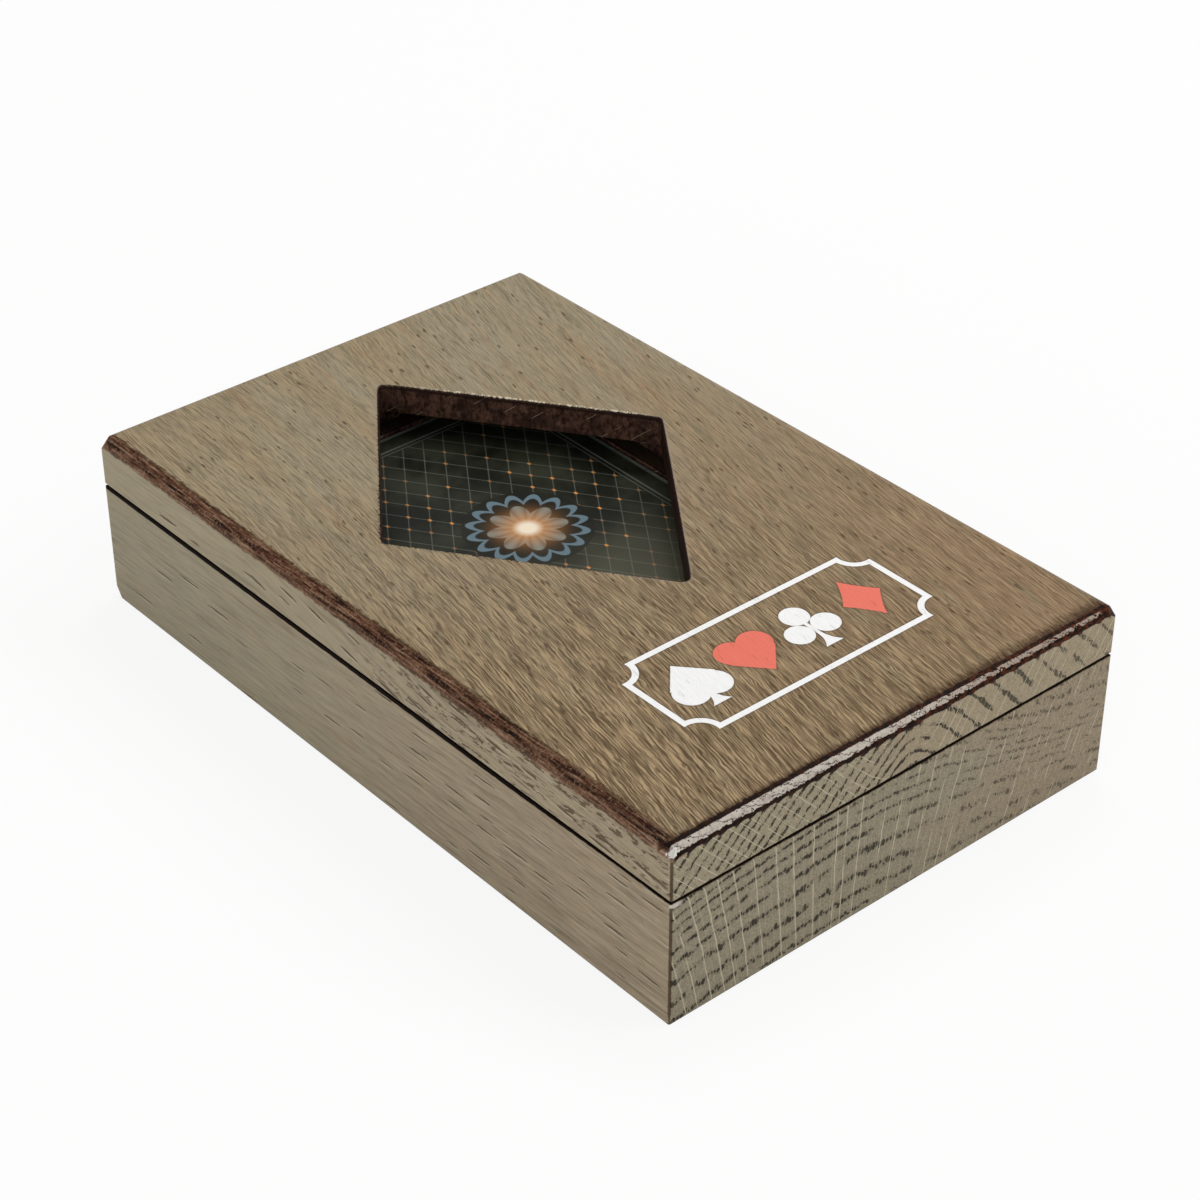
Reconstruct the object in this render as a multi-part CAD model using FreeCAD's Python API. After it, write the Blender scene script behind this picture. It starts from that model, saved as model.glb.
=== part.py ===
import FreeCAD, Part
import math
import os

from FreeCAD import Placement, Rotation, Vector

# A solid oak box for one deck of playing cards. X runs across the box, Y along it and along
# the grain, Z up. The origin is the middle of the underside. All lengths are in millimetres.

# The two oak boards.
box_width = 106.0
box_length = 166.0
base_height = 26.0
lid_thickness = 10.7
seam_gap = 0.3

# Their worked edges.
lid_side_round = 2.8
lid_end_round = 1.8
upright_round = 1.0
foot_round = 0.6
near_foot_corner_round = 1.1
far_foot_corner_round = 3.0
lid_corner_round = 5.0
corner_fade_height = 2.6
seam_round = 0.7

# The deck: poker-size cards, in new-deck order from the bottom up.
card_width = 63.0
card_length = 88.0
card_thickness = 0.3
card_corner_radius = 3.5
card_slip = 0.2
card_slip_turn = 2.4
suit_names = ("spades", "hearts", "clubs", "diamonds")
rank_names = ("ace", "02", "03", "04", "05", "06", "07", "08", "09", "10", "jack", "queen", "king")
joker_names = ("joker_black", "joker_red")

# The pocket that holds the deck, milled into the base.
pocket_clearance = 1.0
pocket_far_wall = 20.5
pocket_corner_radius = 4.0
deck_below_rim = 0.3
pocket_mouth_chamfer = 0.4
finger_notch_radius = 12.0

# The diamond-shaped window through the lid, and the recess under it.
window_width = 68.0
window_length = 92.6
window_corner_radius = 1.6
window_rim_chamfer = 0.3
recess_margin = 2.0
recess_depth = 4.7
recess_corner_radius = 4.0

# The disc magnets, glued into blind bores at the four corners of both boards.
magnet_diameter = 8.0
magnet_thickness = 3.0
magnet_chamfer = 0.3
magnet_inset = 10.25
magnet_bore_clearance = 0.05

# Places that follow from the sizes above.
deck_names = [f"card_{suit}_{rank}" for suit in suit_names for rank in rank_names]
deck_names += [f"card_{joker}" for joker in joker_names]
deck_height = len(deck_names) * card_thickness
pocket_depth = deck_height + deck_below_rim
pocket_floor = base_height - pocket_depth
pocket_width = card_width + 2 * pocket_clearance
pocket_length = card_length + 2 * pocket_clearance
pocket_centre_y = box_length / 2 - pocket_far_wall - pocket_length / 2
pocket_near_y = pocket_centre_y - pocket_length / 2
pocket_reach = pocket_centre_y + pocket_length / 2 + 1
window_reach = pocket_centre_y + window_length / 2 + 1
lid_underside = base_height + seam_gap
recess_width = window_width + 2 * recess_margin
recess_length = window_length + 2 * recess_margin
magnet_proud = seam_gap / 2
magnet_bore_radius = magnet_diameter / 2 + magnet_bore_clearance
magnet_bore_depth = magnet_thickness - magnet_proud
magnet_places = [
    Vector(side * (box_width / 2 - magnet_inset), end * (box_length / 2 - magnet_inset), 0)
    for side in (-1, 1)
    for end in (-1, 1)
]
up = Vector(0, 0, 1)


def rounded_face(corners):
    """A flat face on z = 0 around the corners, each given as (x, y, rounding radius)."""
    points = [Vector(x, y, 0) for x, y, radius in corners]
    arcs = []
    for index, (x, y, radius) in enumerate(corners):
        corner = points[index]
        back = (points[index - 1] - corner).normalize()
        ahead = (points[(index + 1) % len(points)] - corner).normalize()
        inward = (back + ahead).normalize()
        half_angle = back.getAngle(ahead) / 2
        tangent_length = radius / math.tan(half_angle)
        crown = radius / math.sin(half_angle) - radius
        arcs.append((corner + back * tangent_length, corner + inward * crown, corner + ahead * tangent_length))
    edges = []
    for index, (start, middle, end) in enumerate(arcs):
        previous_end = arcs[index - 1][2]
        edges.append(Part.LineSegment(previous_end, start).toShape())
        edges.append(Part.Arc(start, middle, end).toShape())
    return Part.Face(Part.Wire(edges))


def rectangle(width, length, near_radius, far_radius, centre_y=0.0):
    """The corners of a rectangle on the box's middle line, for rounded_face."""
    half_width = width / 2
    near = centre_y - length / 2
    far = centre_y + length / 2
    return [
        (-half_width, near, near_radius),
        (half_width, near, near_radius),
        (half_width, far, far_radius),
        (-half_width, far, far_radius),
    ]


def deck_rectangle(width, length, radius):
    """The corners of a rectangle around the middle of the deck, for rounded_face."""
    return rectangle(width, length, radius, radius, pocket_centre_y)


def prism(corners, bottom, height):
    """An upright prism on the rounded corners."""
    solid = rounded_face(corners).extrude(up * height)
    solid.translate(up * bottom)
    return solid


def edge_profile(width, height, low_round, high_round, length, turn):
    """A board's section, rounded at its edges and run along the board's other direction."""
    half_width = width / 2
    corners = [
        (-half_width, 0, low_round),
        (half_width, 0, low_round),
        (half_width, height, high_round),
        (-half_width, height, high_round),
    ]
    run = rounded_face(corners).extrude(up * length)
    run.translate(up * -length / 2)
    stand_up = Rotation(Vector(1, 0, 0), 90)
    face_along = Rotation(up, turn)
    run.Placement = Placement(Vector(0, 0, 0), face_along.multiply(stand_up)).multiply(run.Placement)
    return run


def blank(height, near_foot_corner, far_foot_corner, top_corner):
    """A board's plan run upright, its corners knocked off further towards its foot and its top."""
    sections = [
        (0, near_foot_corner, far_foot_corner),
        (corner_fade_height, upright_round, upright_round),
        (height - corner_fade_height, upright_round, upright_round),
        (height, top_corner, top_corner),
    ]
    wires = []
    for level, near_radius, far_radius in sections:
        wire = rounded_face(rectangle(box_width, box_length, near_radius, far_radius)).OuterWire
        wire.translate(up * level)
        wires.append(wire)
    return Part.makeLoft(wires, True, True)


def board(outline, height, low_round, side_round, end_round):
    """A board of the box's outline: what its blank and its two edge profiles have in common."""
    across = edge_profile(box_width, height, low_round, side_round, 2 * box_length, 0)
    along = edge_profile(box_length, height, low_round, end_round, 2 * box_width, 90)
    return outline.common(across).common(along)


def magnet_bores(mouth, direction):
    """The four blind bores of one board, from its meeting face into the wood."""
    bores = []
    for place in magnet_places:
        start = place + up * mouth
        bores.append(Part.makeCylinder(magnet_bore_radius, magnet_bore_depth, start, up * direction))
    return bores


def level_edges(solid, height, reach):
    """The edges of a solid that lie at one height and no further than reach from the Z axis."""
    found = []
    for edge in solid.Edges:
        box = edge.BoundBox
        level = abs(box.ZMin - height) < 1e-4 and abs(box.ZMax - height) < 1e-4
        if level and max(-box.XMin, box.XMax, -box.YMin, box.YMax) < reach:
            found.append(edge)
    return found


def make_base():
    outline = blank(base_height, near_foot_corner_round, far_foot_corner_round, upright_round)
    base = board(outline, base_height, foot_round, seam_round, seam_round)
    pocket_corners = deck_rectangle(pocket_width, pocket_length, pocket_corner_radius)
    pocket = prism(pocket_corners, pocket_floor, 2 * pocket_depth)
    notch_foot = Vector(0, pocket_near_y, pocket_floor)
    notch = Part.makeCylinder(finger_notch_radius, 2 * pocket_depth, notch_foot)
    hollow = base.cut([pocket, notch])
    eased = hollow.makeChamfer(pocket_mouth_chamfer, level_edges(hollow, base_height, pocket_reach))
    return eased.cut(magnet_bores(base_height, -1))


def make_lid():
    outline = blank(lid_thickness, upright_round, upright_round, lid_corner_round)
    lid = board(outline, lid_thickness, seam_round, lid_side_round, lid_end_round)
    lid.translate(up * lid_underside)
    recess_corners = deck_rectangle(recess_width, recess_length, recess_corner_radius)
    recess = prism(recess_corners, lid_underside - recess_depth, 2 * recess_depth)
    window_corners = [
        (0, pocket_centre_y - window_length / 2, window_corner_radius),
        (window_width / 2, pocket_centre_y, window_corner_radius),
        (0, pocket_centre_y + window_length / 2, window_corner_radius),
        (-window_width / 2, pocket_centre_y, window_corner_radius),
    ]
    window = prism(window_corners, lid_underside, 2 * lid_thickness)
    pierced = lid.cut([recess, window])
    lid_top = lid_underside + lid_thickness
    rim = level_edges(pierced, lid_top, window_reach)
    return pierced.makeChamfer(window_rim_chamfer, rim).cut(magnet_bores(lid_underside, 1))


def make_magnets(bottom):
    """Four chamfered discs whose lower faces lie at the given height."""
    magnets = []
    for place in magnet_places:
        disc = Part.makeCylinder(magnet_diameter / 2, magnet_thickness, place + up * bottom)
        rims = [edge for edge in disc.Edges if isinstance(edge.Curve, Part.Circle)]
        magnets.append(disc.makeChamfer(magnet_chamfer, rims))
    return Part.makeCompound(magnets)


def make_card(level):
    """One card of the deck, a little out of square with its neighbours as hand-stacked cards are."""
    corners = deck_rectangle(card_width, card_length, card_corner_radius)
    card = prism(corners, pocket_floor + level * card_thickness, card_thickness)
    slip_angle = level * card_slip_turn
    card.translate(Vector(card_slip * math.sin(slip_angle), card_slip * math.cos(slip_angle), 0))
    return card


def make_nodes():
    meeting_height = base_height + magnet_proud
    nodes = {
        "base_block": make_base(),
        "base_magnets": make_magnets(meeting_height - magnet_thickness),
        "lid_panel": make_lid(),
        "lid_magnets": make_magnets(meeting_height),
    }
    for level, name in enumerate(deck_names):
        nodes[name] = make_card(level)
    return nodes


os.makedirs("parts", exist_ok=True)
for node, shape in make_nodes().items():
    shape.exportStep(f"parts/{node}.step")
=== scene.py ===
"""A stained oak box for playing cards: a base, a lift-off lid with a diamond window, and the deck.

The solids come from the frame and keep their shapes. This script gives each of them a procedural
material, and adds the lamps, the white studio and the photograph's viewpoint. Materials are
worked out in millimetres from the middle of the box's underside: x runs across the box, y along
it and along the grain, from the near end to the far one, and z up.
"""

import functools
import math
from dataclasses import dataclass

import bpy
from mathutils import Matrix, Vector


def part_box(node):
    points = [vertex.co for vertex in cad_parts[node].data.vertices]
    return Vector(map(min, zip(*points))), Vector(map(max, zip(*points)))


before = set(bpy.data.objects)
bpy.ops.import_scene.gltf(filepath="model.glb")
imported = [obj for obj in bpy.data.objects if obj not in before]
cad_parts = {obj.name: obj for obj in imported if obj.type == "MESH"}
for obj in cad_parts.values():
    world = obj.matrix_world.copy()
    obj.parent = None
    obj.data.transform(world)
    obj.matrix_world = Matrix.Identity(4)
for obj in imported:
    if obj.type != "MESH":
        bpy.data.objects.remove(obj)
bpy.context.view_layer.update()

MM = 0.001

# The viewpoint: a camera that looks down at the near left corner of the box.
VIEW_AZIMUTH = math.radians(-40.631)
VIEW_ELEVATION = math.radians(34.426)
VIEW_DISTANCE = 580.499 * MM
VIEW_TARGET = Vector((19.243, 18.564, 0)) * MM
SENSOR_WIDTH_MM = 36.0
LENS_MM = 87.291
CLIP_START = 10 * MM

# The box as the frame gives it, in millimetres.
lid_low, lid_high = (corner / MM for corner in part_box("lid_panel"))
base_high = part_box("base_block")[1] / MM
HALF_WIDTH = lid_high.x
HALF_LENGTH = lid_high.y
LID_TOP = lid_high.z
LID_UNDERSIDE = lid_low.z
BASE_TOP = base_high.z

# The diamond-shaped window: its middle, its half diagonals, the direction of its sides, and
# millimetres per unit past its edge.
WINDOW_CENTRE_Y = 17.5
WINDOW_HALF_WIDTH = 34.0
WINDOW_HALF_LENGTH = 46.3
WINDOW_SIDE_X = 0.592
WINDOW_SIDE_Y = 0.806
WINDOW_EDGE_SCALE = (
    WINDOW_HALF_WIDTH * WINDOW_HALF_LENGTH / math.hypot(WINDOW_HALF_WIDTH, WINDOW_HALF_LENGTH)
)


# ---------------------------------------------------------------- shader arithmetic


class Field:
    """A number that varies over a surface: one shader socket, with arithmetic."""

    def __init__(self, graph, socket):
        self.graph = graph
        self.socket = socket

    def __add__(self, other):
        return self.graph.math("ADD", self, other)

    def __radd__(self, other):
        return self.graph.math("ADD", other, self)

    def __sub__(self, other):
        return self.graph.math("SUBTRACT", self, other)

    def __rsub__(self, other):
        return self.graph.math("SUBTRACT", other, self)

    def __mul__(self, other):
        return self.graph.math("MULTIPLY", self, other)

    def __truediv__(self, other):
        return self.graph.math("DIVIDE", self, other)

    def __neg__(self):
        return self.graph.math("MULTIPLY", self, -1.0)

    def __abs__(self):
        return self.graph.math("ABSOLUTE", self)

    def sqrt(self):
        return self.graph.math("SQRT", self)

    def sin(self):
        return self.graph.math("SINE", self)

    def cos(self):
        return self.graph.math("COSINE", self)

    def floor(self):
        return self.graph.math("FLOOR", self)

    def fraction(self):
        return self.graph.math("FRACT", self)

    def power(self, exponent):
        return self.graph.math("POWER", self, exponent)

    def least(self, other):
        return self.graph.math("MINIMUM", self, other)

    def most(self, other):
        return self.graph.math("MAXIMUM", self, other)

    def ramp(self, at_zero, at_one):
        """0 at one value and 1 at the other, smooth between them and level outside them."""
        return self.graph.ramp(self, at_zero, at_one)


class Graph:
    """One material's node tree, built from calls that return Fields or sockets."""

    def __init__(self, name):
        self.material = bpy.data.materials.new(name)
        self.material.use_nodes = True
        self.tree = self.material.node_tree
        self.tree.nodes.clear()
        self.coordinates = self.tree.nodes.new("ShaderNodeTexCoord")

    def feed(self, socket, value):
        """Links a Field or socket to a node's input, or sets the input to a plain value."""
        if isinstance(value, Field):
            value = value.socket
        if isinstance(value, bpy.types.NodeSocket):
            self.tree.links.new(value, socket)
        else:
            socket.default_value = value

    def add(self, kind, inputs=None, **settings):
        """A new node, its settings made before its inputs, because they decide which it has."""
        node = self.tree.nodes.new(kind)
        for name, value in settings.items():
            setattr(node, name, value)
        for name, value in (inputs or {}).items():
            self.feed(node.inputs[name], value)
        return node

    def field(self, socket):
        return Field(self, socket)

    def math(self, operation, *values):
        node = self.add("ShaderNodeMath", dict(enumerate(values)), operation=operation)
        return self.field(node.outputs[0])

    def ramp(self, value, at_zero, at_one):
        inputs = {"Value": value, "From Min": at_zero, "From Max": at_one}
        node = self.add("ShaderNodeMapRange", inputs, interpolation_type="SMOOTHSTEP")
        return self.field(node.outputs["Result"])

    def split(self, socket):
        node = self.add("ShaderNodeSeparateXYZ", {0: socket})
        return [self.field(output) for output in node.outputs]

    def join(self, x, y, z):
        node = self.add("ShaderNodeCombineXYZ", {0: x, 1: y, 2: z})
        return node.outputs[0]

    def position_mm(self):
        return [axis / MM for axis in self.split(self.coordinates.outputs["Object"])]

    def facing(self):
        """The three parts of the direction that the surface faces."""
        return self.split(self.coordinates.outputs["Normal"])

    def noise(self, x, y, z, detail=2.0, roughness=0.5):
        """Smooth noise about 0.5, with one bump or so per unit along each axis."""
        inputs = {
            "Vector": self.join(x, y, z),
            "Scale": 1.0,
            "Detail": detail,
            "Roughness": roughness,
        }
        node = self.add("ShaderNodeTexNoise", inputs)
        return self.field(node.outputs["Fac"])

    def cells(self, x, y, z):
        """Scattered points, about one per unit cube: how far the nearest is, and its own chance."""
        node = self.add("ShaderNodeTexVoronoi", {"Vector": self.join(x, y, z), "Scale": 1.0})
        chance = self.split(node.outputs["Color"])[0]
        return self.field(node.outputs["Distance"]), chance

    def scatter(self, x, y):
        """Scattered points, about one per unit square: the way from the nearest, along x and y,
        and two chances of its own."""
        inputs = {"Vector": self.join(x, y, 0.0), "Scale": 1.0}
        node = self.add("ShaderNodeTexVoronoi", inputs, voronoi_dimensions="2D")
        place = self.split(node.outputs["Position"])
        chance = self.split(node.outputs["Color"])
        return x - place[0], y - place[1], chance[0], chance[1]

    def seams(self, along):
        """Distance to the nearest of unevenly spaced marks along a line, about one per unit."""
        inputs = {"W": along, "Scale": 1.0}
        settings = {"voronoi_dimensions": "1D", "feature": "DISTANCE_TO_EDGE"}
        node = self.add("ShaderNodeTexVoronoi", inputs, **settings)
        return self.field(node.outputs["Distance"])

    def chance(self, x, y):
        """A random number from 0 to 1 for each pair of whole numbers."""
        inputs = {"Vector": self.join(x, y, 0.0)}
        node = self.add("ShaderNodeTexWhiteNoise", inputs, noise_dimensions="2D")
        return self.field(node.outputs["Value"])

    def mix(self, share, first, second):
        """Colour first where share is 0, and second where it is 1."""
        node = self.add("ShaderNodeMix", {0: share, 6: first, 7: second}, data_type="RGBA")
        return node.outputs[2]

    def paint(self, colour, *coats):
        """The colour under its coats in turn, each given as the share it covers and its colour."""
        for share, tint in coats:
            colour = self.mix(share, colour, tint)
        return colour

    def surface(self, colour, roughness, relief_mm, **fixed):
        """The finished surface: colour, roughness, height of relief, and fixed socket values."""
        bump = self.add("ShaderNodeBump", {"Height": relief_mm, "Distance": MM})
        inputs = {"Base Color": colour, "Roughness": roughness, "Normal": bump.outputs[0]}
        shader = self.add("ShaderNodeBsdfPrincipled", inputs)
        for name, value in fixed.items():
            shader.inputs[name.replace("_", " ")].default_value = value
        output = self.add("ShaderNodeOutputMaterial")
        self.tree.links.new(shader.outputs[0], output.inputs["Surface"])
        return self.material


def between(share, first, second):
    """Number first where share is 0, and second where it is 1."""
    return first * (1.0 - share) + second * share


def srgb(red, green, blue):
    """A linear colour from screen values of 0 to 255."""
    channels = []
    for value in (red, green, blue):
        share = value / 255
        channels.append(share / 12.92 if share <= 0.04045 else ((share + 0.055) / 1.055) ** 2.4)
    return (*channels, 1.0)


# ---------------------------------------------------------------- stained oak

# The numbers in the materials: a factor on x, y or z is how many bumps of noise there are to a
# millimetre that way, the limits of a ramp are levels of noise or millimetres, and the share in
# front of a colour says how much of what lies under it that colour covers.

OAK_GREY = srgb(154, 144, 121)
OAK_BROWN = srgb(154, 139, 112)
OAK_NEAR = srgb(135, 114, 87)
OAK_GREEN = srgb(124, 116, 92)
OAK_PINK = srgb(152, 124, 96)
OAK_LIGHT = srgb(182, 158, 122)
OAK_DARK = srgb(86, 68, 46)
SIDE_GREY = srgb(148, 141, 120)
SIDE_WARM = srgb(157, 143, 123)
END_GREY = srgb(139, 132, 114)
END_BROWN = srgb(144, 131, 111)
PORE = srgb(40, 35, 25)
RAY = srgb(182, 169, 140)
RAY_PALE = srgb(190, 180, 157)

# Stain where it has gathered or been rubbed away, wood that was cut or chipped, and the painted
# highlights, glints and shade among them.
# Near black stain, also used as the painted shade in the seam.
STAIN_AND_SHADE_BLACK = srgb(16, 4, 0)
STAIN_SOFT = srgb(60, 36, 18)
STAIN_OLIVE = srgb(66, 48, 22)
STAIN_RUST = srgb(84, 38, 12)
STAIN_RED = srgb(76, 44, 28)
STAIN_BROWN = srgb(110, 78, 58)
STAIN_PALE = srgb(168, 140, 116)
# The next two are pale worn wood, painted light enough to stand for a highlight as well.
RUBBED_HIGHLIGHT = srgb(158, 140, 126)
CHIP_HIGHLIGHT = srgb(200, 191, 180)
GLINT = srgb(240, 237, 230)
# Pale splinters, painted bright as a highlight too.
SPLINTER_HIGHLIGHT = srgb(218, 207, 182)
CUT_BROWN = srgb(92, 66, 54)
# Dark cut wood, also used as painted shade.
CUT_DARK_AND_SHADE = srgb(34, 20, 15)
# Painted shade for hidden level faces.
SHADE_BLACK = srgb(20, 10, 7)
CORNER_BROWN = srgb(62, 46, 30)
# Dirt and painted contact shade along the foot.
FOOT_DIRT_AND_SHADE = srgb(72, 76, 70)


@dataclass
class Board:
    """How one board was cut from its log and finished, in millimetres."""

    seed: float
    # The end grain's rings rise to both sides of a crown, at a slope for each side.
    crown_x: float
    crown_width: float
    left_slope: float
    right_slope: float
    ring_pitch: float
    ring_swell: float
    ring_start: float
    # To the right they crowd together about the height middle_z, or spread if crowding is below 0.
    crowding: float
    crowded_x: float
    middle_z: float
    # Pores close up from open_x to plain_x, and the wood turns from grey to brown at warm_x.
    pore_pitch: float
    open_x: float
    plain_x: float
    warm_x: float
    # Rays, which may stop short of the crown.
    ray_pitch: float
    crown_has_rays: bool
    # Slits that the saw left in the sides: how far apart along and up, how thick and how many.
    slit_spacing: float
    slit_row_pitch: float
    slit_thickness: float
    slit_share: float
    # The painted shade on the lip at the seam: its height, its width, and the width that it gains
    # at the sides.
    seam_z: float
    lip: float
    side_lip: float
    # How far the sides and ends are paled, a painted sheen.
    pale: float


BASE_BOARD = Board(
    seed=3.0,
    crown_x=-17.0,
    crown_width=70.0,
    left_slope=0.55,
    right_slope=0.55,
    ring_pitch=3.03,
    ring_swell=1.78,
    ring_start=0.58,
    crowding=0.45,
    crowded_x=40.0,
    middle_z=13.0,
    pore_pitch=0.98,
    open_x=-16.0,
    plain_x=22.0,
    warm_x=14.0,
    ray_pitch=3.3,
    crown_has_rays=True,
    slit_spacing=9.0,
    slit_row_pitch=2.3,
    slit_thickness=0.17,
    slit_share=0.36,
    seam_z=BASE_TOP,
    lip=0.2,
    side_lip=0.36,
    pale=0.1,
)
LID_BOARD = Board(
    seed=40.0,
    crown_x=1.0,
    crown_width=2.5,
    left_slope=0.95,
    right_slope=0.6,
    ring_pitch=3.0,
    ring_swell=0.5,
    ring_start=0.1,
    crowding=-0.45,
    crowded_x=14.0,
    middle_z=31.65,
    pore_pitch=0.8,
    open_x=-5.0,
    plain_x=70.0,
    warm_x=-12.0,
    ray_pitch=3.0,
    crown_has_rays=False,
    slit_spacing=10.0,
    slit_row_pitch=1.7,
    slit_thickness=0.34,
    slit_share=0.42,
    seam_z=LID_UNDERSIDE,
    lip=0.0,
    side_lip=0.08,
    pale=0.32,
)


CROWDING_START_X = 4.0


@dataclass
class Rings:
    """Where a point of the end grain lies among the annual rings."""

    side: Field  # across the board from the crown
    across: Field  # across the rays
    rise: Field  # up through the rings
    number: Field
    share: Field  # of the way through its ring
    crowded: Field
    bare: Field  # 1 where the pores have closed up


def annual_rings(g, board, x, y, z):
    """The rings as they cross a point: sloping away from the crown, swaying and unevenly wide."""
    sway = (g.noise(x * 0.035, y * 0.004 + board.seed, z * 0.035, 1.0) - 0.5) * 2.2
    side = x - board.crown_x
    spread = (side * side + board.crown_width**2).sqrt()
    lean = side / spread
    mean_slope = (board.left_slope + board.right_slope) / 2
    slope = mean_slope + lean * (board.right_slope - board.left_slope) / 2
    crowded = x.ramp(CROWDING_START_X, board.crowded_x) * board.crowding
    rise = z + (z - board.middle_z) * crowded + spread * slope + sway
    swell = (rise * 0.2 - 0.445).sin() * board.ring_swell
    age = (rise + swell) / board.ring_pitch + board.ring_start
    return Rings(
        side=side,
        across=side - lean * slope * z + sway * 0.3,
        rise=rise,
        number=age.floor(),
        share=age.fraction(),
        crowded=crowded,
        bare=x.ramp(board.open_x, board.plain_x),
    )


def pore_rows(g, board, x, y, z, rings, ragged):
    """Each ring's row of pores: one blot to a place, of its own size, some places left out.
    Gives the pores, how near the row is, and where the row is open."""
    crooked = g.noise(x * 0.8, rings.number * 3.1, z * 0.5, 2.0) - 0.5
    off_row = (rings.share - 0.5) * board.ring_pitch / (rings.crowded + 1.0) + crooked * 0.8
    count = rings.side * 1.15 / board.pore_pitch + rings.number * 0.37 + crooked * 1.2
    place = count.floor()
    size = g.chance(place, rings.number)
    shift = g.chance(place + 51.0, rings.number) - 0.5
    blot_across = (count.fraction() - 0.5) * board.pore_pitch + shift * 0.3
    blot_along = off_row + shift * 0.6
    blot = (blot_across * blot_across * 0.8 + blot_along * blot_along * 1.3).sqrt()
    patch = g.noise(rings.across * 0.2, rings.number * 5.3 + board.seed, y * 0.02, 2.0, 0.6)
    open_row = (patch - (0.4 + rings.bare * 0.08)).ramp(-0.04, 0.04)
    reach = (size * 0.4 + 0.17) * (1.0 - rings.bare * 0.25 - rings.crowded.least(0.0) * 1.2)
    pores = (blot + ragged * 0.36 - reach).ramp(0.1, -0.06) * open_row
    return pores * (1.0 - rings.bare * 0.35), abs(off_row).ramp(1.0, 0.3), open_row


def pore_dots(g, x, y, z, ragged, near_row):
    """Single small pores, most of them near the rows."""
    distance, chance = g.cells(x * 1.5, y * 0.12, z * 1.5)
    dots = (distance + ragged * 0.2).ramp(0.34, 0.18) * chance.ramp(0.5, 0.8)
    return dots * (near_row * 0.7 + 0.3)


def ray_lines(g, board, rings):
    """Pale lines square to the rings: broad ones that come and go, and thin ones."""
    shown = 1.0 if board.crown_has_rays else abs(rings.side).ramp(2.0, 8.0)
    life = g.noise(rings.across * 0.25, rings.rise * 0.12, board.seed, 1.0)
    wobble = (g.noise(rings.across * 0.3, rings.rise * 0.25, 3.0, 1.0) - 0.5) * 0.5
    broad = g.seams((rings.across + wobble) / board.ray_pitch + board.seed).ramp(0.05, 0.018)
    broad = broad * (life - rings.bare * 0.16).ramp(0.3, 0.44)
    thin = g.seams((rings.across + wobble * 0.5) * 0.6 + board.seed).ramp(0.1, 0.02)
    return broad * shown, thin * shown


def end_grain(g, board, x, y, z):
    """Rows of open pores along the annual rings, crossed by pale rays."""
    rings = annual_rings(g, board, x, y, z)
    ragged = g.noise(x * 2.3, y * 0.1, z * 2.3, 2.0, 0.6) - 0.5
    pores, near_row, open_row = pore_rows(g, board, x, y, z, rings, ragged)
    dots = pore_dots(g, x, y, z, ragged, near_row)
    rays, thin_rays = ray_lines(g, board, rings)
    hatch = g.noise(rings.across * 3.0, rings.rise * 1.3, y * 0.1, 2.0, 0.6)
    speckle = g.noise(x * 2.9, y * 0.1 + 4.0, z * 2.9, 2.0, 0.7)
    blush = (g.noise(x * 0.03 + board.seed, y * 0.01, z * 0.07, 2.0) - 0.5) * 60.0 + x
    colour = g.paint(
        g.mix(blush.ramp(board.warm_x - 14.0, board.warm_x + 14.0), END_GREY, END_BROWN),
        (near_row * open_row * 0.22 * (1.0 - rings.bare * 0.5), PORE),
        # Painted sheen: the end is paled evenly.
        (board.pale, RAY),
        (speckle.ramp(0.5, 0.3) * 0.45, OAK_DARK),
        (speckle.ramp(0.52, 0.72) * 0.4, RAY),
        (hatch.ramp(0.5, 0.25) * 0.2, OAK_DARK),
        (hatch.ramp(0.55, 0.8) * 0.3, RAY),
        (dots * 0.55, PORE),
        (pores * 0.92, PORE),
        (thin_rays * (speckle + 0.1) * 0.45, RAY),
        (rays * (hatch + 0.35), RAY_PALE),
    )
    relief = speckle * 0.05 - pores * 0.14 - dots * 0.05
    return colour, relief, near_row


def grain_flow(g, board, x, y, z, on_side):
    """Where a point lies across the fibres, which wander, wave and bow as they run along y."""
    wander = (g.noise(x * 0.05, y * 0.015 + board.seed, z * 0.05, 1.0) - 0.5) * 3.0
    wave = (g.noise(x * 0.7, y * 0.2 + board.seed, z * 0.7, 1.0) - 0.5) * 0.6
    leftward = x.ramp(40.0, -20.0)
    bow = y * y * (leftward * 0.0009 - 0.0004) - y * (0.22 - leftward * 0.055)
    flow_x = x + (wander + wave + bow) * (1.0 - on_side)
    flow_z = z + wander * (1.0 - on_side * 0.5) + wave * 0.3 + on_side * y * 0.015
    if board is LID_BOARD:
        # Along the lid's sides the grain climbs, most steeply by the middle, then runs level.
        climb = y.least(32.0).most(-22.0) * 0.2 + y.least(-22.0) * 0.06
        flow_z = flow_z - on_side * climb
    return flow_x, flow_z


def open_slits(g, board, y, flow_x, flow_z):
    """Short pores that the plane opened along the top, more of them near."""
    distance, chance = g.cells(flow_x * 1.2, y * 0.3 + board.seed, flow_z * 1.8)
    share = chance + y.ramp(60.0, -60.0) * 0.1
    return distance.ramp(0.34, 0.16) * share.ramp(0.86, 0.94)


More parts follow.
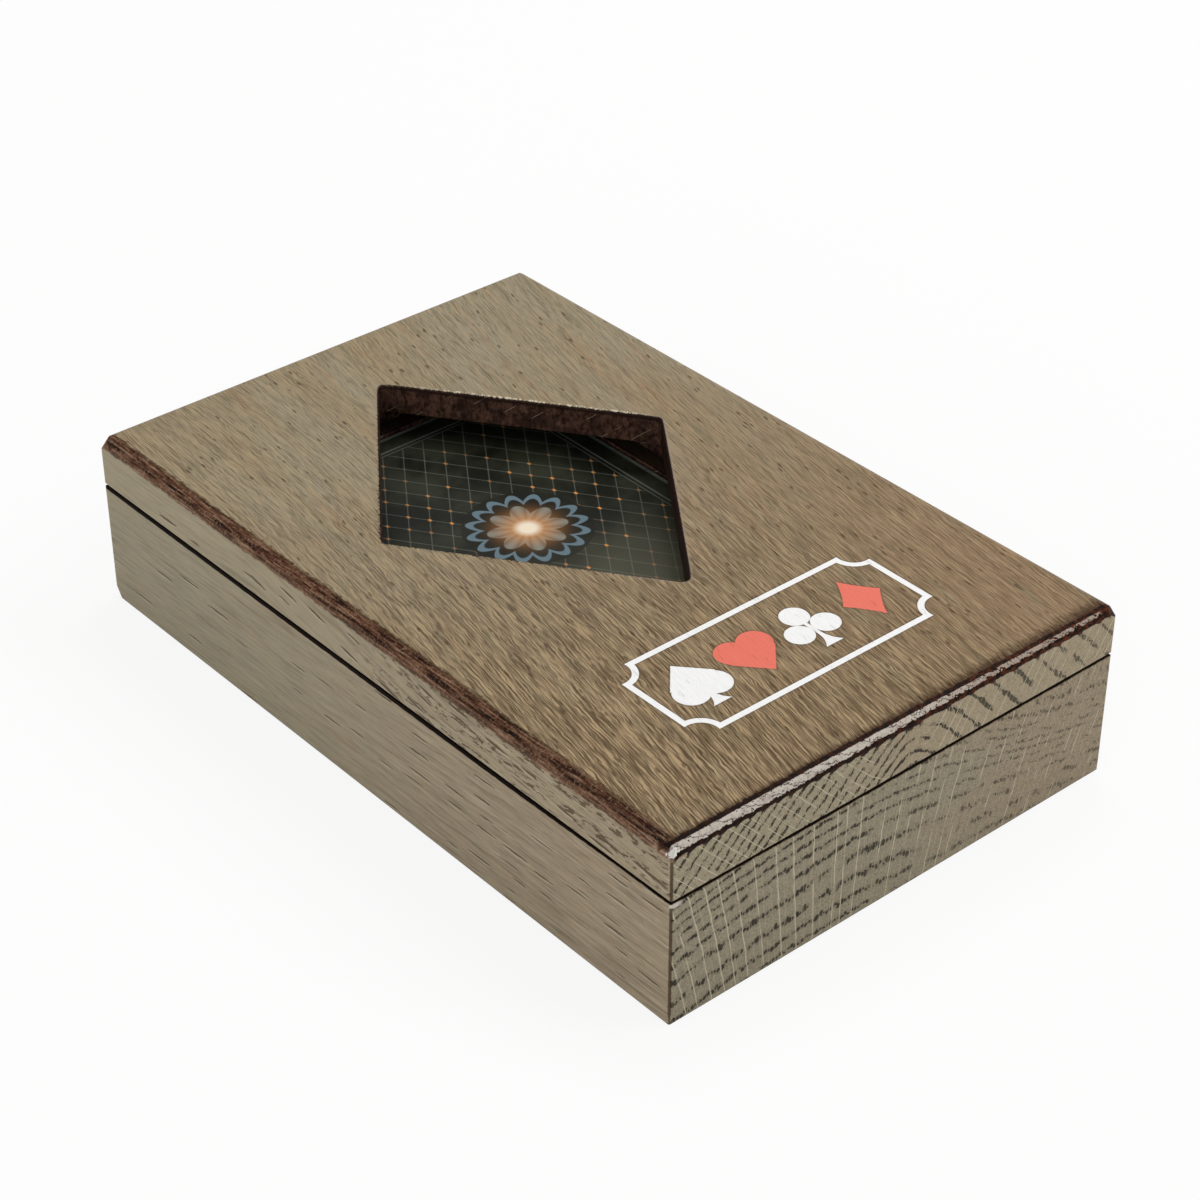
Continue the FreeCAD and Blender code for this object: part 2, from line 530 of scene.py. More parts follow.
def side_slits(g, board, y, flow_z):
    """Short open slits that the saw left along a side, and under each a lip painted pale as a
    highlight.
    """
    fray = g.noise(y * 0.5, board.seed, flow_z * 1.2, 3.0, 0.65) - 0.5
    place = (y / board.slit_spacing + board.seed, flow_z / board.slit_row_pitch)
    along, across, luck, size = g.scatter(*place)
    half_length = size * 0.26 + 0.16
    taper = (1.0 - (along / half_length).power(2.0)).most(0.0)
    share = y.ramp(80.0, -40.0) * board.slit_share
    present = (luck - share - 0.05).ramp(0.06, -0.06)
    off = across * board.slit_row_pitch + fray * 0.5
    width = taper * (size * 0.6 + 0.5) * board.slit_thickness
    slits = (abs(off) - width).ramp(0.1, -0.08) * present * taper.ramp(0.0, 0.3)
    lit_lips = (abs(off + 0.42) - width).ramp(0.12, -0.08) * present * taper.ramp(0.1, 0.5)
    if board is LID_BOARD:
        # Towards the near end they break up into short torn flecks.
        torn = g.noise(y * 0.34 + flow_z * 0.3, board.seed, flow_z * 1.05, 3.0, 0.7)
        band = abs((flow_z / 4.4 + 0.1).fraction() - 0.5).ramp(0.46, 0.2)
        slits = slits.most(torn.ramp(0.52, 0.59) * band * y.ramp(14.0, -25.0))
    return slits, lit_lips


def bare_wood(g, board, x, y, on_side, broad, blush):
    """The long faces' ground: browner towards the near end and greyer towards the far one, pinker
    at its right, and paler, greyer sides; the far greying and the pale sides are partly painted
    sheen.
    """
    near = y.ramp(60.0, -75.0)
    top = g.mix(broad.ramp(0.35, 0.65), OAK_GREY, OAK_BROWN)
    return g.paint(
        g.mix(near, top, OAK_NEAR),
        (x.ramp(10.0, 45.0) * near * (0.2 + blush * 0.6), OAK_PINK),
        # Painted sheen, partly: the sides are paler and greyer than the top.
        (on_side * 0.88, g.mix(y.ramp(50.0, -70.0), SIDE_GREY, SIDE_WARM)),
        (on_side * board.pale, RAY),
    )


def side_marks(g, board, y, z, flow_z, on_side, slits, lit_lips, colour):
    """Streaks and flecks on the sides, and the slits with the painted highlight under each."""
    streak = g.noise(y * 0.07, board.seed, flow_z * 1.5, 3.0, 0.65)
    streaky = on_side * (y.ramp(40.0, -60.0) * 0.2 + 0.16)
    fleck = g.noise(y * 0.9, board.seed, z * 2.2, 3.0, 0.75)
    return g.paint(
        colour,
        (streak.ramp(0.48, 0.3) * streaky, OAK_DARK),
        (streak.ramp(0.52, 0.7) * streaky * 1.4, RAY_PALE),
        # Painted highlight: the pale lip under each slit.
        (lit_lips * on_side * 0.4, RAY_PALE),
        (slits * (0.75 + on_side * 0.15), OAK_DARK),
        (on_side * fleck.ramp(0.6, 0.78) * 0.3, RAY_PALE),
        (on_side * fleck.ramp(0.42, 0.26) * 0.25, OAK_GREEN),
    )


def fibre_flanks(g, board, x, y, z, flow_x, flow_z):
    """The heights of the raised fibres a little to the left and to the right of a point: their
    difference makes each fibre light on one flank and dark on the other: the wood's own bands with
    painted highlight and shade."""
    run = y * 0.13 + board.seed
    waver = (g.noise(x * 0.9, y * 0.5, z * 0.9 + board.seed, 1.0) - 0.5) * 0.4
    left = g.noise((flow_x + waver) * 2.8 + 0.2, run, flow_z * 2.1 + 0.2, 2.0, 0.6)
    right = g.noise((flow_x + waver) * 2.8 - 0.2, run, flow_z * 2.1 - 0.2, 2.0, 0.6)
    return left, right


def long_grain(g, board, x, y, z, nx):
    """Short raised fibres and open pores along the board, on broad soft changes of tone."""
    on_side = abs(nx).ramp(0.5, 0.8)
    flow_x, flow_z = grain_flow(g, board, x, y, z, on_side)
    hair = g.noise(flow_x * 4.8, y * (0.24 - on_side * 0.1) + board.seed, flow_z * 3.8, 1.0)
    tone = g.noise(flow_x * 0.5, y * (0.06 - on_side * 0.03) + board.seed, flow_z * 0.5, 3.0, 0.6)
    blush = g.noise(flow_x * 0.35 + 9.0, y * 0.03 + board.seed, flow_z * 0.35, 2.0, 0.6)
    broad = g.noise(flow_x * 0.09 + 30.0, y * 0.016 + board.seed, flow_z * 0.09, 2.0, 0.6)
    left, right = fibre_flanks(g, board, x, y, z, flow_x, flow_z)
    step = right - left
    nearward = y.ramp(50.0, -60.0) * (0.75 - x.ramp(0.0, 36.0) * 0.55)
    strength = (0.55 + x.ramp(10.0, -40.0) * 0.2 + nearward) * (1.0 - on_side * 0.78)
    hairy = strength * 0.25 + 0.2

    saw_slits, lit_lips = side_slits(g, board, y, flow_z)
    slits = open_slits(g, board, y, flow_x, flow_z) * (1.0 - on_side)
    slits = slits.most(saw_slits * on_side)
    colour = g.paint(
        bare_wood(g, board, x, y, on_side, broad, blush),
        (tone.ramp(0.56, 0.66) * 0.55, OAK_GREEN),
        (blush.ramp(0.56, 0.7) * 0.5 * (1.0 - on_side * 0.6), OAK_PINK),
        (tone.ramp(0.46, 0.26) * 0.25 * strength, OAK_DARK),
        (hair.ramp(0.5, 0.3) * hairy, OAK_DARK),
        (hair.ramp(0.52, 0.72) * hairy, OAK_LIGHT),
        # Painted highlight and painted shade on the raised fibres' flanks, with the wood's own
        # bands.
        (step.ramp(0.03, 0.16) * 0.6 * strength, OAK_LIGHT),
        (step.ramp(-0.03, -0.16) * 0.55 * strength, OAK_DARK),
    )
    colour = side_marks(g, board, y, z, flow_z, on_side, slits, lit_lips, colour)
    relief = (left + right) * 0.12 * strength - slits * 0.12
    return colour, relief, left


def milled_wall(g, x, y, z, nx, ny):
    """Cut walls, dark from stain and from painted shade: fuzzy, with pale slanted cutter marks."""
    fuzz = g.noise(x * 1.1, y * 1.1, z * 0.6, 4.0, 0.75)
    cloud = g.noise(x * 0.22, y * 0.22, z * 0.3, 2.0)
    along = x * WINDOW_SIDE_X - y * WINDOW_SIDE_Y
    life = g.noise(along * 0.2, x * 0.05, z * 0.3, 1.0)
    marks = g.seams(along * 0.14 - z * 0.19 + (fuzz - 0.5) * 0.05).ramp(0.02, 0.006)
    marks = marks * life.ramp(0.48, 0.56)
    colour = g.paint(
        g.mix(fuzz.ramp(0.32, 0.62), CUT_DARK_AND_SHADE, CUT_BROWN),
        (cloud.ramp(0.46, 0.62) * 0.6, CUT_DARK_AND_SHADE),
        (fuzz.ramp(0.6, 0.76) * 0.2, RAY),
        (marks * 0.5, RAY),
        # Painted shade: the walls that face left and far are darker still.
        (nx.ramp(-0.2, -0.6) * ny.ramp(0.2, 0.5) * 0.8, CUT_DARK_AND_SHADE),
    )
    return colour, fuzz * 0.25 + marks * 0.03


def window_rim(g, x, y, z, colour):
    """The window's top arris: a dark frayed line, torn further out along its near left side, with
    pale splinters painted bright as highlights on its far right side, and on its near right one a
    rubbed strip painted pale as a highlight."""
    off_middle = y - WINDOW_CENTRE_Y
    past_width = (x * x + 0.9).sqrt() / WINDOW_HALF_WIDTH
    past_length = (off_middle * off_middle + 0.4).sqrt() / WINDOW_HALF_LENGTH
    outside = (past_width + past_length - 1.0) * WINDOW_EDGE_SCALE
    fray = g.noise(x * 1.4, y * 1.4, 8.0, 3.0, 0.7) - 0.5
    chip = g.noise(x * 0.9 - y * 0.9, x * 0.2 + y * 0.2, 5.0, 3.0, 0.75)
    far = y.ramp(WINDOW_CENTRE_Y + 1.0, WINDOW_CENTRE_Y + 4.0) * x.ramp(-2.0, 2.0)
    # Painted highlight: a pale rubbed strip along the near right arris.
    rubbed = abs(outside - 0.55).ramp(0.3, 0.1) * x.ramp(-20.0, 0.0) * (1.0 - far)
    # Painted highlight: pale splinters along the far right arris.
    splinter_highlight = abs(outside - 0.62 + fray * 0.5).ramp(0.42, 0.2) * chip.ramp(0.48, 0.56)
    splinter_highlight = splinter_highlight * far * (x.ramp(2.0, 12.0) * 0.75 + 0.1)
    at_top = z.ramp(LID_TOP - 1.2, LID_TOP - 0.4)
    on_top = z.ramp(LID_TOP - 0.35, LID_TOP - 0.1)
    torn = (x + off_middle).ramp(0.0, -12.0) * x.ramp(4.0, -4.0) * 1.6 + 1.3
    return g.paint(
        colour,
        ((outside + fray * torn).ramp(0.55, 0.2) * at_top * 0.9, CUT_DARK_AND_SHADE),
        (rubbed * at_top * 0.45, RUBBED_HIGHLIGHT),
        (splinter_highlight * on_top, SPLINTER_HIGHLIGHT),
    )


# The marks along the lid's top edges, in millimetres in from a side or end, and down from the top.
SIDE_STAIN_WIDTH = 3.1
SIDE_STAIN_WIDTH_FADE = 0.7
SIDE_STAIN_DROP = 2.35
SIDE_STAIN_DROP_FADE = 0.4
BORDER_INSET = 2.6
# Where the painted glint sits on the knocked corner.
KNOCK_GLINT_INSET = 0.8
KNOCK_GLINT_DROP = 1.15

# The rubbed strip over the near end's round, painted pale as a highlight too: how far it comes up
# onto the top and down the end at its left, and how much less at its right.
STRIP_RISE = 1.28
STRIP_RISE_LOSS = 0.62
STRIP_DEPTH = 0.72
STRIP_DEPTH_LOSS = 0.36


@dataclass
class LidEdge:
    """Where a point lies by the lid's top edges, in millimetres, and the noise that frays them."""

    x: Field
    y: Field
    z: Field
    to_side: Field  # in from the nearer long side
    to_end: Field  # in from the nearer end
    drop: Field  # down from the top
    below: Field  # 1 on the upright faces, 0 on the top
    frayed: Field
    speck: Field


def place_at_lid_edge(g, x, y, z):
    return LidEdge(
        x=x,
        y=y,
        z=z,
        to_side=HALF_WIDTH - abs(x),
        to_end=HALF_LENGTH - abs(y),
        drop=LID_TOP - z,
        below=z.ramp(LID_TOP - 0.5, LID_TOP - 1.1),
        frayed=g.noise(x * 1.1, y * 0.6, z * 1.1, 3.0, 0.7) - 0.5,
        speck=g.noise(x * 1.7, y * 1.7, z * 1.7, 2.0, 0.7),
    )


def side_stain_and_shade(g, edge, colour):
    """A dark red band over each long side's round, with paler threads of grain in it. On top it
    shows only to the left, where an olive line borders it: there its darkness is stain and painted
    shade."""
    x, y, z = edge.x, edge.y, edge.z
    leftward = x.ramp(20.0, -20.0)
    thread = g.noise((x + z) * 1.6, y * 0.11, (x - z) * 1.6 + y * 0.08, 3.0, 0.65)
    stain = g.paint(
        g.mix(thread.ramp(0.36, 0.5), STAIN_AND_SHADE_BLACK, STAIN_RED),
        (thread.ramp(0.47, 0.57), STAIN_BROWN),
        (thread.ramp(0.57, 0.68) * 0.6, STAIN_PALE),
        (thread.ramp(0.46, 0.56) * y.ramp(-70.0, -81.0) * 0.75, STAIN_PALE),
        (edge.speck.ramp(0.52, 0.7) * 0.4, STAIN_PALE),
        (edge.speck.ramp(0.46, 0.32) * 0.5, STAIN_AND_SHADE_BLACK),
        (edge.drop.ramp(0.8, 1.8) * 0.16, STAIN_PALE),
    )
    foot = LID_TOP - SIDE_STAIN_DROP
    band = edge.to_side + edge.frayed * 2.2
    band = band.ramp(SIDE_STAIN_WIDTH, SIDE_STAIN_WIDTH - SIDE_STAIN_WIDTH_FADE)
    band = band * (z + edge.frayed * 1.2).ramp(foot, foot + SIDE_STAIN_DROP_FADE)
    border = abs(edge.to_side + edge.frayed * 2.0 - BORDER_INSET).ramp(0.55, 0.15)
    border = border * z.ramp(LID_TOP - 0.4, LID_TOP - 0.2)
    return g.paint(
        colour,
        # Painted shade, partly: on top the dark band is kept to the left round.
        (band * edge.below.most(leftward), stain),
        (border * leftward * 0.5, STAIN_OLIVE),
    )


def rubbed_highlight_strip(g, edge, foot, above, slide, rightward, worn):
    """Where the near end's round is rubbed pale and painted with a highlight: a strip that narrows
    to the right, and is broken by cracks, bites and missing chunks."""
    grit = (edge.speck - 0.5) * 0.5 + worn * 0.6
    flake = edge.x * 0.17 + slide * 0.2 + worn * 1.6
    bites = (g.noise(edge.x * 0.6, 7.0, slide * 0.3, 2.0, 0.75) - 0.5) * 1.8
    loose = g.noise(flake.floor() * 0.77, 3.0, 5.0, 0.0)
    chunk = (g.seams(flake).ramp(0.08, 0.03) * 1.2 + loose - 0.5) * rightward
    lower = foot + grit + bites - chunk * 0.5 - rightward * STRIP_DEPTH_LOSS + STRIP_DEPTH
    strip = lower.ramp(-0.08, 0.08) * (above + grit + chunk * 0.6).ramp(0.08, -0.1)
    strip = strip * (edge.to_end * 2.2 + edge.drop).ramp(4.4, 3.8) * edge.y.ramp(20.0, -20.0)
    crack = g.seams(edge.x * 0.2 + slide * 0.4 + edge.speck * 0.3 + worn * 2.0).ramp(0.07, 0.03)
    strip = strip * (1.0 - crack * 0.8) * edge.speck.ramp(0.32, 0.42)
    return strip * edge.x.ramp(HALF_WIDTH - 3.6, HALF_WIDTH - 5.0)


def end_fringe(g, edge, above, rightward):
    """Soft stain that creeps up onto the top between the fibres, further to the right."""
    tuft = g.noise(edge.x * 2.2 - edge.y * 0.4, edge.y * 0.3, 9.0, 2.0, 0.7) - 0.5
    fringe = edge.frayed * 2.4 + (edge.speck - 0.5) * rightward * 2.0
    fringe = fringe + tuft * (rightward * 3.5 + 1.0)
    soft = (above + fringe).ramp(rightward * 1.8 + 2.3, rightward * 0.35 + 0.85)
    return soft * above.ramp(0.0, 0.3)


def corner_crumbs(edge):
    """Dark crumbs on the top by the near right corner."""
    crumbs = (edge.to_side * 0.5 + edge.to_end).ramp(8.0, 3.0)
    crumbs = crumbs * (edge.to_end + edge.frayed * 2.0).ramp(0.8, 1.6)
    crumbs = crumbs * (edge.x - edge.y).ramp(100.0, 110.0)
    return crumbs * edge.speck.ramp(0.5, 0.6) * edge.drop.ramp(1.5, 0.7)


def end_stain(g, edge, pore_row, colour):
    """Across the ends: a soft stain on top, a dark band over the round, and on the near one a
    pale rubbed strip within the band, partly painted highlight. Gives the colour and where it is
    rubbed."""
    x, y = edge.x, edge.y

    # How far a point lies over the round: up from it on the top, and down it, below 0, on the end.
    slide = edge.to_end - edge.drop
    rightward = x.ramp(-36.0, 46.0)
    foot = slide + abs(x).ramp(HALF_WIDTH - 2.0, HALF_WIDTH - 0.4) * 0.9
    above = slide + rightward * STRIP_RISE_LOSS - STRIP_RISE

    worn = g.noise(x * 0.4, 2.0, 5.0, 3.0, 0.7) - 0.5
    patch = g.noise(x * 0.7, 2.0, slide * 1.0, 3.0, 0.7)
    beside = (edge.to_end * 1.2 + edge.drop).ramp(6.6, 5.4) * edge.below.most(y.ramp(20.0, -20.0))
    band = (foot + edge.frayed * 0.6 + pore_row * 0.35).ramp(-1.85, -1.6)
    band = band * (above + edge.frayed * 1.1).ramp(1.3, 0.9)
    band = band * beside * (x + HALF_WIDTH + edge.frayed).ramp(0.5, 1.1)
    rubbed = rubbed_highlight_strip(g, edge, foot, above, slide, rightward, worn)
    # The strip's pale colours stand for worn wood and a painted highlight on the round.
    pale = g.paint(
        g.mix((rightward + worn * 1.4).ramp(0.3, 0.9) * 0.8, CHIP_HIGHLIGHT, RUBBED_HIGHLIGHT),
        (edge.frayed.ramp(0.0, 0.2) * 0.35, STAIN_BROWN),
    )
    stain = g.paint(
        g.mix(patch.ramp(0.44, 0.6) * (0.25 + rightward * 0.7), STAIN_AND_SHADE_BLACK, STAIN_RUST),
        (rubbed * 0.95, pale),
    )
    colour = g.paint(
        colour,
        (end_fringe(g, edge, above, rightward) * beside * 0.85, STAIN_SOFT),
        (corner_crumbs(edge) * 0.7, STAIN_SOFT),
        (band, stain),
    )
    return colour, rubbed


def knocked_corner_glint(g, edge, colour):
    """The near left corner, knocked, with a painted glint as a bright spot."""
    off_side = (edge.to_side - KNOCK_GLINT_INSET).power(2.0)
    off_end = (edge.to_end - KNOCK_GLINT_INSET).power(2.0)
    away = (off_side + off_end + (edge.drop - KNOCK_GLINT_DROP).power(2.0)).sqrt()
    knock_glint = (away + edge.frayed * 2.6 + (edge.speck - 0.5) * 1.2).ramp(0.95, 0.75)
    return g.mix(knock_glint * edge.x.ramp(0.0, -1.0) * edge.y.ramp(0.0, -1.0), colour, GLINT)


def lid_edge(g, x, y, z, pore_row, colour, rough):
    """The lid's rounded top edges, where stain has gathered, with painted shade on the left round,
    the near end rubbed smooth and painted with a highlight, and a painted glint on a corner.
    """
    edge = place_at_lid_edge(g, x, y, z)
    colour = side_stain_and_shade(g, edge, colour)
    colour, rubbed = end_stain(g, edge, pore_row, colour)
    colour = knocked_corner_glint(g, edge, colour)
    return colour, between(rubbed, rough, 0.25 + edge.speck * 0.1)


def inner_share(x, y):
    """1 from 5 mm inside the box's outer faces, and 0 within 4 mm of them."""
    from_sides = abs(x).ramp(HALF_WIDTH - 4.0, HALF_WIDTH - 5.0)
    return from_sides * abs(y).ramp(HALF_LENGTH - 4.0, HALF_LENGTH - 5.0)


def outside_shade_and_wear(g, board, x, y, z, ny, nz, wall, colour):
    """Painted shade along the seam, widest along the sides, a dark line down the upright corners,
    and dirt and painted contact shade along the foot.
    """
    from_seam = abs(z - board.seam_z)
    ragged = (g.noise(x * 0.5, y * 0.5, 6.0, 2.0) - 0.5) * 0.24
    along_side = abs(x).ramp(HALF_WIDTH - 1.2, HALF_WIDTH - 0.4) * y.ramp(-80.0, -30.0)
    lip = along_side * board.side_lip + board.lip
    # Painted shade: the rounds either side of the seam are painted near black, as the gap's shade.
    seam_shade = (from_seam + ragged - lip).ramp(0.08, -0.06) * abs(nz).ramp(0.995, 0.97)
    to_corner = (HALF_WIDTH - abs(x)) + (HALF_LENGTH - abs(y))
    colour = g.paint(
        colour,
        (seam_shade, STAIN_AND_SHADE_BLACK),
        (to_corner.ramp(0.68, 0.61) * (0.8 + ragged), CORNER_BROWN),
        # Dirt and painted contact shade along the foot.
        (z.ramp(0.75, 0.25) * wall * 0.5, FOOT_DIRT_AND_SHADE),
    )
    if board is BASE_BOARD:
        # A pale chip under the seam, at the left corner of the near end, painted bright as a
        # highlight too.
        chip_highlight = (x + HALF_WIDTH + ragged * 4.0).ramp(2.8, 1.4)
        chip_highlight = chip_highlight * (from_seam + ragged).ramp(1.1, 0.8) * from_seam.ramp(0.1, 0.3)
        colour = g.mix(chip_highlight * (-ny).ramp(0.3, 0.6), colour, CHIP_HIGHLIGHT)
    return colour


def oak(name, board):
    """One board's whole material: its grain, its dark milled inside, its edges, and the print."""
    g = Graph(name)
    x, y, z = g.position_mm()
    nx, ny, nz = g.facing()
    end_colour, end_relief, pore_row = end_grain(g, board, x, y, z)
    long_colour, long_relief, fibre = long_grain(g, board, x, y, z, nx)
    end_share = abs(ny).ramp(0.55, 0.85)
    colour = g.mix(end_share, long_colour, end_colour)
    relief = between(end_share, long_relief, end_relief)

    # The milled walls are darker than the outside, from stain and painted shade, and the hidden
    # level faces are painted near black, as shade.
    wall = abs(nz).ramp(0.95, 0.85)
    milled = wall * inner_share(x, y)
    cut_colour, cut_relief = milled_wall(g, x, y, z, nx, ny)
    relief = between(milled, relief, cut_relief)
    hidden_shade = z.ramp(LID_TOP - 1.0, LID_TOP - 2.0) * abs(nz).ramp(0.9, 0.98) * z.ramp(0.5, 1.0)
    hidden_shade_colour = g.mix(fibre.ramp(0.3, 0.7), CUT_DARK_AND_SHADE, SHADE_BLACK)
    colour = g.paint(colour, (milled, cut_colour), (hidden_shade * 0.94, hidden_shade_colour))
    rough = 0.44 + (0.5 - fibre) * 0.2 + end_share * 0.06 + milled * 0.1

    colour = outside_shade_and_wear(g, board, x, y, z, ny, nz, wall, colour)
    if board is LID_BOARD:
        colour = window_rim(g, x, y, z, colour)
        colour, rough = lid_edge(g, x, y, z, pore_row, colour, rough)
        colour = lid_print(g, x, y, nz, fibre, colour)
    return g.surface(colour, rough, relief, Specular_IOR_Level=0.08)


# ---------------------------------------------------------------- cards and magnets

CARD_FIELD = srgb(24, 25, 18)
CARD_FIELD_LIGHT = srgb(52, 54, 42)
CARD_OLIVE = srgb(108, 106, 86)
CARD_LINE = srgb(138, 144, 136)
CARD_RIM = srgb(128, 134, 126)
CARD_BLUE = srgb(112, 134, 146)
CARD_AMBER = srgb(236, 158, 78)
CARD_HOT = srgb(255, 240, 214)
STOCK_WHITE = srgb(226, 223, 214)
STOCK_SHADE = srgb(176, 170, 158)
STOCK_GAP_SHADE = srgb(96, 88, 78)
NICKEL_DULL = srgb(186, 182, 172)
NICKEL_BRIGHT = srgb(214, 210, 200)

LATTICE_PITCH = 5.0
LATTICE_SLOPE = 0.7
ROSETTE_RADIUS = 13.0


def card_box(node):
    """A card's middle and half its size, in millimetres."""
    low, high = (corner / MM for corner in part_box(node))
    return (low + high) / 2, (high - low) / 2


def stock_colour(g, z, thickness):
    """Cut card edges: each card's own shade of white, with painted shade as a darker line between
    cards.
    """
    level = z / thickness
    shade = g.chance(level.floor(), 3.0)
    # Painted shade in the gaps between the cards.
    gap_shade = abs(level.fraction() - 0.5).ramp(0.3, 0.5)
    return g.paint(STOCK_WHITE, (shade * 0.45, STOCK_SHADE), (gap_shade * 0.6, STOCK_GAP_SHADE))


def linen(x, y):
    """The pressed weave of card stock, from -1 to 1."""
    return (x * 6.0).sin() * (y * 6.0).sin()


def card_stock(name, node):
    """Plain white cards, of which only the cut edges show."""
    g = Graph(name)
    x, y, z = g.position_mm()
    half = card_box(node)[1]
    paper = g.noise(x * 1.5, y * 1.5, z * 1.5, 3.0)
    colour = stock_colour(g, z, 2 * half.z)
    colour = g.mix(paper.ramp(0.4, 0.7) * 0.2, colour, STOCK_SHADE)
    return g.surface(colour, paper * 0.2 + 0.35, linen(x, y) * 0.006)


def lattice(g, u, v, radius, inset, colour):
    """Upright diamonds between the rosette and the frame, with a glint on each crossing."""
    rising = (u + v * LATTICE_SLOPE) / LATTICE_PITCH
    falling = (u - v * LATTICE_SLOPE) / LATTICE_PITCH
    off_rising = abs(rising.fraction() - 0.5)
    off_falling = abs(falling.fraction() - 0.5)
    line = off_rising.ramp(0.035, 0.015).most(off_falling.ramp(0.035, 0.015))
    off_crossing = (off_rising * off_rising + off_falling * off_falling).sqrt()
    bright = g.chance(rising.floor(), falling.floor()).ramp(0.25, 0.8)
    glint = off_crossing.ramp(0.13, 0.05) * bright
    open_field = inset.ramp(5.6, 5.8) * radius.ramp(ROSETTE_RADIUS - 0.5, ROSETTE_RADIUS)
    return g.paint(
        colour,
        (line * open_field * 0.3, CARD_LINE),
        (glint * open_field * (radius.ramp(36.0, 8.0) * 0.7 + 0.3), CARD_AMBER),
    )


def rosette(g, u, v, radius, colour):
    """Two rings of petals round a centre that glows."""
    angle = g.math("ARCTAN2", v, u)
    petals = abs((angle * 8.0).cos())
    outer = (radius - petals * 2.6).ramp(9.6, 9.3) * (radius - petals * 2.2).ramp(8.0, 8.5)
    inner = (radius - abs((angle * 4.0).sin()) * 3.0).ramp(5.2, 4.9) * radius.ramp(2.0, 2.6)
    glow = radius.ramp(12.0, 0.0)
    return g.paint(
        colour,
        (radius.ramp(ROSETTE_RADIUS, ROSETTE_RADIUS - 0.4) * 0.5, CARD_FIELD),
        (outer * 0.85, CARD_BLUE),
        (inner * (petals * 0.5 + 0.35), CARD_LINE),
        (glow * glow * 0.75, CARD_AMBER),
        (radius.ramp(3.4, 1.2), CARD_HOT),
    )


def card_border(g, u, v, inset, colour):
    """Two frame lines, and a pale rim that handling has rubbed."""
    frame_line = abs(inset - 4.4).ramp(0.26, 0.14).most(abs(inset - 5.4).ramp(0.14, 0.08))
    rubbed = g.noise(u * 0.5, v * 0.5, 2.0, 4.0, 0.7) - 0.5
    return g.paint(
        colour,
        (frame_line * 0.42, CARD_LINE),
        ((inset + rubbed * 0.5).ramp(0.95, 0.7) * (0.45 + rubbed), CARD_RIM),
    )


def card_back(name, node):
    """A dark back with a lattice, a rosette that glows at its heart, and a pale rim."""
    g = Graph(name)
    x, y, z = g.position_mm()
    nz = g.facing()[2]
    centre, half = card_box(node)
    u = x - centre.x
    v = y - centre.y
    inset = (half.x - abs(u)).least(half.y - abs(v))
    radius = (u * u + v * v).sqrt()
    mottle = g.noise(u * 0.09, v * 0.09, 7.0, 3.0)
    colour = g.mix(mottle.ramp(0.35, 0.7), CARD_FIELD, CARD_FIELD_LIGHT)
    colour = g.mix(v.ramp(-4.0, -36.0) * 0.75, colour, CARD_OLIVE)
    colour = lattice(g, u, v, radius, inset, colour)
    colour = rosette(g, u, v, radius, colour)
    colour = card_border(g, u, v, inset, colour)
    colour = g.mix(nz.ramp(0.4, 0.7), stock_colour(g, z, 2 * half.z), colour)
    rough = 0.34 + mottle * 0.12
    return g.surface(colour, rough, linen(x, y) * 0.005, Specular_IOR_Level=0.16)


def nickel(name):
    """Finely grained plating with a few scratches."""
    g = Graph(name)
    x, y, z = g.position_mm()
    grain = g.noise(x * 5.0, y * 5.0, z * 5.0, 3.0)
    scratch = g.noise(x * 0.6 + y * 0.4, y * 9.0 - x * 6.0, z * 2.0, 2.0).ramp(0.6, 0.7)
    colour = g.mix(grain, NICKEL_DULL, NICKEL_BRIGHT)
    return g.surface(colour, 0.22 + grain * 0.12 + scratch * 0.15, scratch * -0.01, Metallic=1.0)


# ---------------------------------------------------------------- the print on the lid

PRINT_CENTRE_Y = -52.0
PIP_HALF_HEIGHT = 5.6
PIP_PITCH = 13.2
FRAME_HALF_LENGTH = 29.0
FRAME_HALF_HEIGHT = 11.5
FRAME_SCOOP = 4.2
LINE_HALF_WIDTH = 0.62
INK_WHITE = srgb(252, 252, 252)
INK_RED = srgb(240, 124, 106)

# Each pip's outline is a distance in units of its half height, with its middle at 0, 0: below
# zero inside, above zero outside.


def disc(u, v, centre_u, centre_v, radius):
    across = u - centre_u
    along = v - centre_v
    return (across * across + along * along).sqrt() - radius


def heart(u, v):
    """Two lobes on a square that stands on its corner."""
    lobes = disc(abs(u), v, 0.47, 0.42, 0.6)
    point = ((abs(u) + abs(v * 0.9 + 0.03) - 0.92) * 0.7).most((v - 0.45) * 0.7)
    return lobes.least(point)


def stem(u, v):
    """A stem that flares to a flat foot."""
    drop = (-v - 0.3).most(0.0)
    return (abs(u) - 0.07 - drop * drop * drop * 0.38).most(-v - 1.22).most(v - 0.2)


def club(u, v):
    lobes = disc(u, v, 0.0, 0.62, 0.5).least(disc(abs(u), v, 0.56, -0.22, 0.5))
    return lobes.least(stem(u, v))


def spade(u, v):
    return heart(u, 0.12 - v).least(stem(u, v))


def diamond(u, v):
    """Four points with slightly hollow sides."""
    return ((abs(u) / 0.82).power(0.9) + (abs(v) / 1.16).power(0.9) - 1.0) * 0.6


PIPS = ((spade, "white"), (heart, "red"), (club, "white"), (diamond, "red"))


def print_frame(x, y):
    """Millimetres outside the line of the frame, whose corners are scooped out."""
    along = abs(x) - FRAME_HALF_LENGTH
    height = abs(y - PRINT_CENTRE_Y) - FRAME_HALF_HEIGHT
    scoop = FRAME_SCOOP - (along * along + height * height).sqrt()
    return abs(along.most(height).most(scoop)) - LINE_HALF_WIDTH


